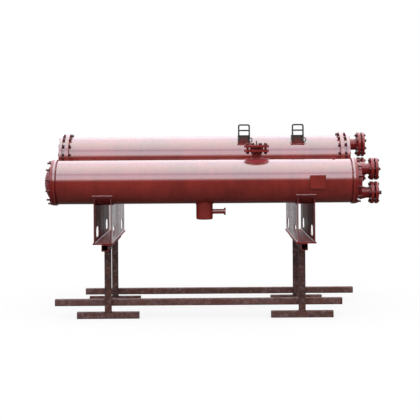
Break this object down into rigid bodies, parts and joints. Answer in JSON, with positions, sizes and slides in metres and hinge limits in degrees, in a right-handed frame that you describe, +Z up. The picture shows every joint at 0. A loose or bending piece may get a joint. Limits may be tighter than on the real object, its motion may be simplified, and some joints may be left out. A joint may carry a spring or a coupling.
{
  "type": "shell and tube heat exchanger",
  "caption": "Pair of horizontal steel shell and tube heat exchangers, one set higher behind the other, bolted end covers, flanged water connections, common saddles and a tube stand.",
  "frame": {"origin": "middle of the part's plan, on the floor", "axes": "+X along the shells towards the water connections, +Y from the front vessel towards the rear vessel, +Z up"},
  "size_m": [2.521, 1.2244, 1.472],
  "materials": {
    "vessel_paint": "glossy red-brown paint, dusty and worn",
    "stand_paint": "matt dark primer, rusty",
    "dark_steel": "dark, matt",
    "cap_plastic": "black plastic",
    "gasket": "matt"
  },
  "bodies": {
    "root": {"front_shell": "vessel_paint", "front_left_tube_sheet": "vessel_paint", "front_right_tube_sheet": "vessel_paint", "front_left_cover": "vessel_paint", "front_right_channel": "vessel_paint", "front_upper_counter_flange": "vessel_paint", "front_lower_counter_flange": "vessel_paint", "front_lower_cap": "cap_plastic", "gas_inlet_pad": "vessel_paint", "gas_inlet_neck": "vessel_paint", "gas_inlet_blank": "vessel_paint", "charging_valve": "vessel_paint", "liquid_sump": "vessel_paint", "liquid_outlet": "vessel_paint", "name_plate_bracket": "vessel_paint", "vent_boss": "vessel_paint", "flange_gaskets": "gasket", "rear_shell": "vessel_paint", "rear_left_body_flange": "vessel_paint", "rear_right_body_flange": "vessel_paint", "rear_left_tube_sheet": "vessel_paint", "rear_right_tube_sheet": "vessel_paint", "rear_left_cover": "vessel_paint", "rear_right_channel": "vessel_paint", "rear_upper_counter_flange": "vessel_paint", "rear_lower_counter_flange": "vessel_paint", "bracket_seats": "vessel_paint", "bracket_loops": "dark_steel", "bracket_eyes": "vessel_paint", "left_saddle_webs": "vessel_paint", "left_saddle_base": "vessel_paint", "left_front_pad": "vessel_paint", "left_rear_pad": "vessel_paint", "right_saddle_webs": "vessel_paint", "right_saddle_base": "vessel_paint", "right_front_pad": "vessel_paint", "right_rear_pad": "vessel_paint", "left_beam": "stand_paint", "left_posts": "stand_paint", "left_feet": "stand_paint", "right_beam": "stand_paint", "right_posts": "stand_paint", "right_feet": "stand_paint", "front_stretcher": "stand_paint", "rear_stretcher": "stand_paint"}
  },
  "joints": []
}
